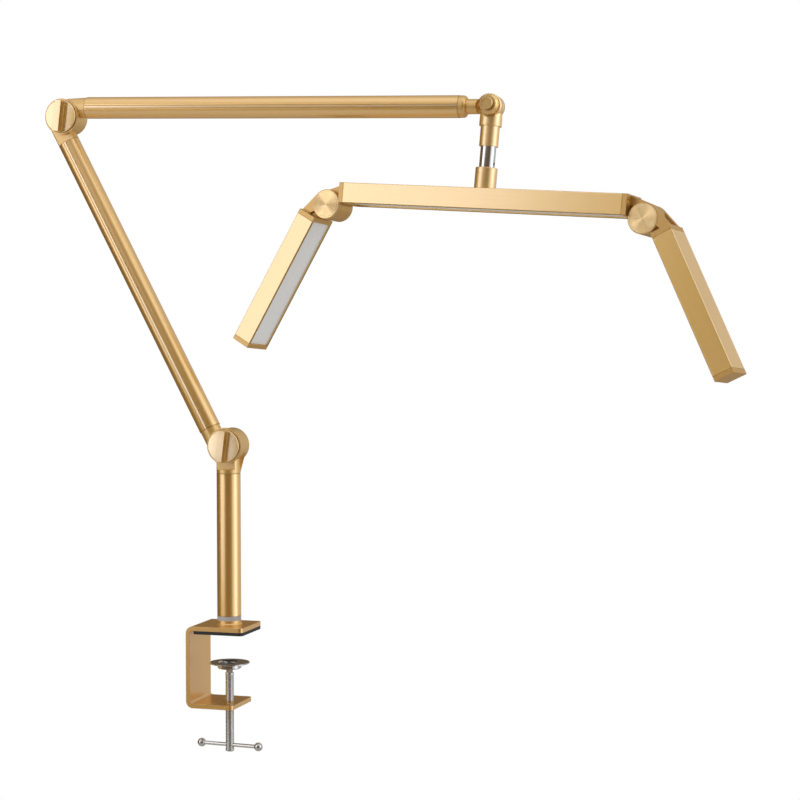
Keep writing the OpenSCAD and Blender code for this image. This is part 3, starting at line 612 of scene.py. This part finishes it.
class LAMP_OT_castings(bpy.types.Operator):
    """Matte gold on the castings of the elbows, the neck, the stem and the end caps"""
    bl_idname = "lamp.castings"
    bl_label = "Castings"

    def execute(self, context):
        cast = cast_gold("gold_casting", colours().cast, colours().cast_skin_share)
        assign(cast, [
            "base_collar", "post_head", "lower_rear_cap", "lower_arm_foot", "lower_arm_head",
            "upper_rear_cap", "upper_arm_foot", "upper_arm_cap", "tilt_neck"])
        knurl = cast_gold("gold_knurl", colours().cast, colours().cast_skin_share,
                          rough=(0.24, 0.32), gloss=0.16, softness=0.2)
        assign(knurl, ["tilt_knob"])
        stem = cast_gold("gold_stem", colours().knob, colours().skin_share)
        assign(stem, ["tilt_socket", "stem_sleeve", "stem_collar"])
        cap = cast_gold("gold_cap", colours().cap, colours().cap_skin_share)
        assign(cap, ["left_bar_cap", "right_bar_cap", "left_wing_hinge_cap", "left_wing_end_cap",
                     "right_wing_hinge_cap", "right_wing_end_cap"])
        return {"FINISHED"}


class LAMP_OT_knobs(bpy.types.Operator):
    """Crowned gold faces on the two ribbed knobs, with painted shade on the rib's sides"""
    bl_idname = "lamp.knobs"
    bl_label = "Knobs"

    def execute(self, context):
        for name in ("lower", "upper"):
            centre = place_of(name + "_elbow")
            _, rib, _ = reach_along(name + "_knob", centre, FRONT)
            made = turned_gold("gold_" + name + "_knob", colours().knob, centre, rib)
            assign(made, [name + "_knob"])
        return {"FINISHED"}


def spun_disc(name, node, origin, outwards, made, body):
    """Turned disc in place of a flat one. Its outer face has fine rings: the height over
    the face is a cosine of the radius, less a crown that falls with the radius squared."""
    low, high, edge = reach_along(node, origin, outwards)
    bevel, columns, rows_per_ring = sizes().disc_bevel, 96, 6
    middle = 0.15 * MM
    rings = edge - bevel - 2 * sizes().rim
    count = int(rings / sizes().ring_pitch)
    face = np.linspace(middle, rings, rows_per_ring * count + 1)
    wave = 0.5 * sizes().ring_depth * (np.cos(2 * np.pi * face / sizes().ring_pitch) - 1)
    rise = high + wave - face ** 2 / (2 * sizes().disc_crown)
    # The groove and the plain rim outside it
    groove = rings + 0.5 * sizes().rim
    rim_top = high - edge ** 2 / (2 * sizes().disc_crown)
    face = np.append(face, [groove, groove, edge - bevel - sizes().rim, edge - bevel])
    rise = np.append(rise, [rise[-1], rim_top - 0.5 * sizes().rim, rim_top, rim_top])
    side_radius = np.array([edge, edge, edge - bevel, middle])
    side_height = np.array([rise[-1] - bevel, low + bevel, low, low])
    height = np.concatenate([side_height[::-1], rise[::-1]])
    radius = np.concatenate([side_radius[::-1], face[::-1]])
    points = turned_points(height, radius, columns)
    side = Vector(outwards).orthogonal().normalized()
    turn = np.array(basis(side, Vector(outwards).cross(side), Vector(outwards)))
    piece = shell(name, points @ turn.T + np.array(origin), turned_faces(len(height), columns))
    piece.data.materials.append(made)
    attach(piece, body)
    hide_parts(node)


class LAMP_OT_discs(bpy.types.Operator):
    """Four turned discs with fine rings on the wing hinges"""
    bl_idname = "lamp.discs"
    bl_label = "Hinge discs"

    def execute(self, context):
        made = spun_gold("gold_disc_rings", colours().knob)
        for side, hinge in HINGES.items():
            for end, label in ((-1, "front"), (1, "rear")):
                spun_disc(f"{side}_turned_disc_{label}", f"{side}_disc_{label}", hinge,
                          BAR_Y * end, made, side + "_wing")
        return {"FINISHED"}


class LAMP_OT_panels(bpy.types.Operator):
    """Pale gold on the housings of the bar and the wings"""
    bl_idname = "lamp.panels"
    bl_label = "Housings"

    def execute(self, context):
        lines = {"bar_housing": ("right", -BAR_X),
                 "left_wing_housing": ("left", wing_turn("left").col[0]),
                 "right_wing_housing": ("right", wing_turn("right").col[0])}
        for node, (side, along) in lines.items():
            low, high, _ = reach_along(node, HINGES[side], along)
            lit = -BAR_Z if node == "bar_housing" else -wing_turn(side).col[2]
            # Edge of the lit side, where the painted shade of the lip goes
            _, lowest, _ = reach_along(node, HINGES[side], lit)
            made = drawn_gold("gold_" + node, colours().panel, along, colours().skin_share,
                              HINGES[side], (low, high), rough=(0.44, 0.52), gloss=0.22,
                              lip=(lit, lowest))
            assign(made, [node])
        return {"FINISHED"}


class LAMP_OT_clamp(bpy.types.Operator):
    """Lacquered strip, rubber pad and swivel washer of the clamp"""
    bl_idname = "lamp.clamp"
    bl_label = "Clamp"

    def execute(self, context):
        strip = cast_gold("gold_strip", colours().strip, colours().cast_skin_share,
                          rough=(0.36, 0.46), gloss=0.22)
        assign(strip, ["clamp_frame"])
        assign(plain_plastic("rubber", colours().rubber, 0.62, 900.0, 0.3), ["jaw_pad"])
        resin = plain_plastic("resin", colours().resin, 0.34, 300.0, 0.05, **{"Coat Weight": 0.3})
        assign(resin, ["swivel_washer", "lower_washer", "upper_washer"])
        return {"FINISHED"}


class LAMP_OT_steel(bpy.types.Operator):
    """Chrome and plated steel"""
    bl_idname = "lamp.steel"
    bl_label = "Steel"

    def execute(self, context):
        assign(smooth_metal("chrome", colours().chrome, 0.10), ["stem_shaft"])
        assign(smooth_metal("nickel", colours().plated, 0.13), ["pressure_dish", "tommy_bar"])
        steel = smooth_metal("plated_steel", colours().steel, 0.28, 700.0, 0.12)
        assign(steel, ["base_stud", "stud_nut", "post_bush", "lower_nut", "upper_nut", "neck_ring",
                       "tilt_nut", "left_hinge_pin", "right_hinge_pin"])
        return {"FINISHED"}


class LAMP_OT_light(bpy.types.Operator):
    """Frosted diffusers and the boards behind them"""
    bl_idname = "lamp.light"
    bl_label = "Diffusers and boards"

    def execute(self, context):
        frost = plain_plastic("frosted_acrylic", colours().frost, 0.42, 500.0, 0.06, 0.02)
        assign(frost, ["bar_diffuser", "left_wing_diffuser", "right_wing_diffuser"])
        board = plain_plastic("board_white", colours().board, 0.5, 500.0, 0.05)
        assign(board, ["bar_led_board", "left_wing_led_board", "right_wing_led_board"])
        return {"FINISHED"}


def screw_profile(low, high):
    """Heights and radii of the clamp screw without its thread, from its lower end: the
    rounded tip, the shank, the slim neck, the rivet's waist in the dish and its head."""
    shank, neck, waist, head = 4.0 * MM, 3.05 * MM, 2.45 * MM, 4.6 * MM
    round_tip = 1.2 * MM
    # Depths below the screw's top
    shank_end, neck_start, neck_end, waist_end = 6.9 * MM, 6.3 * MM, 3.0 * MM, 1.5 * MM
    shoulder = 0.01 * MM
    dome = [[0.9 * MM, head], [0.3 * MM, 3.9 * MM], [0.0, 2.4 * MM]]
    tip = np.linspace(0, np.pi / 2, 8)
    tip_height = low + round_tip * (1 - np.cos(tip))
    tip_radius = shank - round_tip * (1 - np.sin(tip))
    upper = np.array([
        [shank_end, shank], [neck_start, neck], [neck_end, neck],
        [neck_end - shoulder, waist], [waist_end, waist], [waist_end - shoulder, head]] + dome)
    upper[:, 0] = high - upper[:, 0]
    return tip_height, tip_radius, upper, shank


class LAMP_OT_clamp_screw(bpy.types.Operator):
    """Clamp screw with its rolled thread, in place of the plain shaft"""
    bl_idname = "lamp.clamp_screw"
    bl_label = "Clamp screw"

    def execute(self, context):
        corner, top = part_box("clamp_spindle")
        low, high = corner.z, top.z
        tip_height, tip_radius, upper, shank = screw_profile(low, high)
        start = tip_height[-1] + 0.6 * MM
        end = upper[0, 0] - 1.0 * MM
        columns, rows_per_turn = 48, 12
        rows = int((end - start) / sizes().pitch * rows_per_turn)
        run = np.linspace(start, end, rows)
        height = np.concatenate([tip_height, run, upper[:, 0]])
        radius = np.concatenate([tip_radius, np.full(rows, shank), upper[:, 1]])
        angle = np.linspace(0, 2 * np.pi, columns, endpoint=False)
        # The groove is 0 at the crest of a right-hand helix and 1 in its root, and it fades
        # in and out over one and a half turns
        phase = height[:, None] / sizes().pitch - angle / (2 * np.pi)
        groove = np.clip(np.abs(2 * (phase % 1) - 1) * 1.3 - 0.15, 0, 1)
        fade = np.clip(np.minimum(height - start, end - height) / (1.5 * sizes().pitch), 0, 1)
        threaded = radius[:, None] - sizes().thread_depth * groove * fade[:, None]
        points = turned_points(height, threaded, columns)
        piece = shell("clamp_screw", points, turned_faces(len(height), columns))
        piece.data.materials.append(smooth_metal("screw_steel", colours().plated, 0.2, 900.0, 0.1))
        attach(piece, "spindle")
        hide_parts("clamp_spindle")
        return {"FINISHED"}


def cross_head(name, centre, turn, made, body):
    """Small countersunk screw facing along turn's X direction. Its height over the face is
    a shallow dome less a cross, whose arms are deep where a point lies near either line."""
    rings, columns = 14, 40
    dome, cross_depth, sink = 0.12 * MM, 0.5 * MM, 0.25 * MM
    # Shares of the head's radius: the cross's half width and half length, and their slopes
    half_width, side_slope, half_length, end_slope = 0.20, 0.08, 0.72, 0.12
    share = np.linspace(1, 0.04, rings)[:, None]
    angle = np.linspace(0, 2 * np.pi, columns, endpoint=False)[None, :]
    across = share * np.cos(angle)
    along = share * np.sin(angle)
    arm = np.minimum(np.abs(across), np.abs(along))
    reach = np.maximum(np.abs(across), np.abs(along))
    cross = (np.clip((half_width - arm) / side_slope, 0, 1)
             * np.clip((half_length - reach) / end_slope, 0, 1))
    rise = dome * (1 - share ** 6) - cross_depth * cross
    rise[0] = -sink
    radius = sizes().screw_head
    local = np.stack([rise, radius * across, radius * along], axis=-1).reshape(-1, 3)
    ends = [[-sink, 0, 0], [dome - cross_depth, 0, 0]]
    local = np.concatenate([local, ends])
    points = local @ np.array(turn).T + np.array(centre)
    piece = shell(name, points, turned_faces(rings, columns))
    piece.data.materials.append(made)
    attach(piece, body)


class LAMP_OT_cap_screws(bpy.types.Operator):
    """Two small screws in each cap beside the wing hinges, on the bar and on the wings"""
    bl_idname = "lamp.cap_screws"
    bl_label = "Cap screws"

    def execute(self, context):
        made = smooth_metal("screw_gold", colours().cast, 0.3, 900.0, 0.1)
        # Places of the caps' ports from the hinge's axis: along, across and above it
        bar_gap, wing_gap = 13.2 * MM, 14.5 * MM
        port_y, port_z = 13.4 * MM, 11.75 * MM
        for side, hinge in HINGES.items():
            away = 1 if side == "right" else -1
            out = basis(BAR_X * away, BAR_Y * away, BAR_Z)
            wing = wing_turn(side)
            back = basis(-wing.col[0], -wing.col[1], wing.col[2])
            for end, label in ((-1, "front"), (1, "rear")):
                y = BAR_Y * end * port_y
                at_bar = hinge - out.col[0] * bar_gap + y + out.col[2] * port_z
                cross_head(f"{side}_bar_screw_{label}", at_bar, out, made, "head")
                at_wing = hinge + wing.col[0] * wing_gap + y + wing.col[2] * port_z
                cross_head(f"{side}_wing_screw_{label}", at_wing, back, made, side + "_wing")
        return {"FINISHED"}


class LAMP_OT_camera(bpy.types.Operator):
    """Camera at the photograph's place"""
    bl_idname = "lamp.camera"
    bl_label = "Camera"

    def execute(self, context):
        studio = context.scene.lamp_studio
        data = bpy.data.cameras.new("camera")
        data.lens = studio.lens
        data.sensor_width = 36.0
        data.clip_start = 0.05
        data.clip_end = 50.0
        camera = bpy.data.objects.new("camera", data)
        context.scene.collection.objects.link(camera)
        turn = (Matrix.Rotation(studio.camera_turn, 3, "Z")
                @ Matrix.Rotation(math.pi / 2 - studio.camera_dip, 3, "X")
                @ Matrix.Rotation(studio.camera_roll, 3, "Z"))
        camera.location = studio.camera_place
        camera.rotation_euler = turn.to_euler()
        context.scene.camera = camera
        return {"FINISHED"}


def area_light(name, place, size, power):
    """White rectangular softbox at a place, turned to the lamp."""
    data = bpy.data.lights.new(name, "AREA")
    data.shape = "RECTANGLE"
    data.size, data.size_y = size
    data.energy = power
    lamp = bpy.data.objects.new(name, data)
    lamp.location = place
    look = Vector(AIM) - Vector(place)
    lamp.rotation_euler = look.to_track_quat("-Z", "Y").to_euler()
    bpy.context.scene.collection.objects.link(lamp)


class LAMP_OT_studio(bpy.types.Operator):
    """Pale floor, soft studio lamps and a white surround with dim warm gaps"""
    bl_idname = "lamp.studio"
    bl_label = "Studio"

    def execute(self, context):
        scene = context.scene
        scene.view_settings.view_transform = "Standard"
        world = bpy.data.worlds.new("studio")
        scene.world = world
        world.use_nodes = True
        self.surround(Graph(world.node_tree), scene.lamp_studio)
        self.floor(scene.lamp_studio)
        for softbox in SOFTBOXES:
            area_light(*softbox)
        return {"FINISHED"}

    def surround(self, graph, studio):
        """White to the camera. Reflections see a tall white screen on the right, a dimmer
        one behind it, a pale ceiling and dim warm gaps between them, all darker below."""
        direction = graph.node("ShaderNodeTexCoord", output="Generated")
        _, _, up = graph.parts(direction)

        def screen(azimuth, narrow, wide):
            """1 within narrow degrees of an azimuth, counted from the front to the right,
            and 0 from wide degrees on."""
            facing = (math.sin(math.radians(azimuth)), -math.cos(math.radians(azimuth)), 0.0)
            flat = (1 - up * up).math("SQRT").math("MAXIMUM", 0.001)
            turned = graph.lean(direction, facing) / flat
            return turned.step(math.cos(math.radians(wide)), math.cos(math.radians(narrow)))

        right = screen(86.0, 18.0, 42.0)
        ceiling = up.step(0.3, 0.9) * 0.48
        rear = screen(142.0, 20.0, 62.0) * 0.5
        mask = right.math("MAXIMUM", ceiling).math("MAXIMUM", rear)
        mask = mask * (1 - 0.5 * (up * -1.0).step(0.15, 0.45))
        mirrored = graph.mix(mask, rgba(studio.gap), WHITE)
        glossy, seen, through = graph.node("ShaderNodeLightPath", output=(
            "Is Glossy Ray", "Is Camera Ray", "Is Transmission Ray"))
        colour = graph.mix(glossy, rgba(studio.ambient), mirrored)
        colour = graph.mix(seen.math("MAXIMUM", through), colour, WHITE)
        shine = graph.node("ShaderNodeBackground", {}, {"Color": colour, "Strength": 1.0})
        graph.end("ShaderNodeOutputWorld", shine)

    def floor(self, studio):
        """Square floor: white to the camera, with a faint shadow near the lamp, and pale to
        every other ray."""
        half, height = 2.0, studio.floor_z
        near_edge, far_edge, shadow = 0.9, 1.9, 0.12
        ground = np.array([[-half, -half, height], [half, -half, height],
                           [half, half, height], [-half, half, height]])
        piece = shell("floor", ground, [[0, 1, 2, 3]])

        def build(graph):
            pale = graph.node("ShaderNodeBsdfDiffuse", {}, {"Color": rgba(studio.floor_tone)})
            white = graph.node("ShaderNodeEmission", {}, {"Color": WHITE, "Strength": 1.0})
            x, y, _ = graph.parts(graph.place())
            near = 1 - (x * x + y * y).math("SQRT").step(near_edge, far_edge)
            shown = graph.node("ShaderNodeMixShader", {}, {0: shadow * near, 1: white, 2: pale})
            seen = graph.node("ShaderNodeLightPath", output="Is Camera Ray")
            return graph.node("ShaderNodeMixShader", {}, {0: seen, 1: pale, 2: shown})

        piece.data.materials.append(material("floor_white", build))


STEPS = (LAMP_OT_camera, LAMP_OT_tubes, LAMP_OT_castings, LAMP_OT_knobs, LAMP_OT_discs,
         LAMP_OT_panels, LAMP_OT_clamp, LAMP_OT_steel, LAMP_OT_light, LAMP_OT_clamp_screw,
         LAMP_OT_cap_screws, LAMP_OT_studio)


class LAMP_PT_panel(bpy.types.Panel):
    """Lists the steps that dress the lamp"""
    bl_idname = "LAMP_PT_panel"
    bl_label = "Folding beauty lamp"
    bl_space_type = "VIEW_3D"
    bl_region_type = "UI"
    bl_category = "Lamp"

    def draw(self, context):
        for step in STEPS:
            self.layout.operator(step.bl_idname)
        for name, kind in GROUPS.items():
            box = self.layout.box()
            for setting in kind.__annotations__:
                box.prop(getattr(context.scene, name), setting)


GROUPS = {"lamp_colours": LampColours, "lamp_sizes": LampSizes, "lamp_studio": LampStudio}


def register():
    """Adds the settings, the steps and the panel."""
    for group in GROUPS.values():
        bpy.utils.register_class(group)
    for name, group in GROUPS.items():
        setattr(bpy.types.Scene, name, bpy.props.PointerProperty(type=group))
    for step in STEPS + (LAMP_PT_panel,):
        bpy.utils.register_class(step)


def unregister():
    """Takes away what register added."""
    for step in reversed(STEPS + (LAMP_PT_panel,)):
        bpy.utils.unregister_class(step)
    for name, group in reversed(GROUPS.items()):
        delattr(bpy.types.Scene, name)
        bpy.utils.unregister_class(group)


def main():
    """Runs every step in order."""
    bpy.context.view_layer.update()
    register()
    for step in STEPS:
        area, name = step.bl_idname.split(".")
        getattr(getattr(bpy.ops, area), name)()


if __name__ == "__main__":
    main()
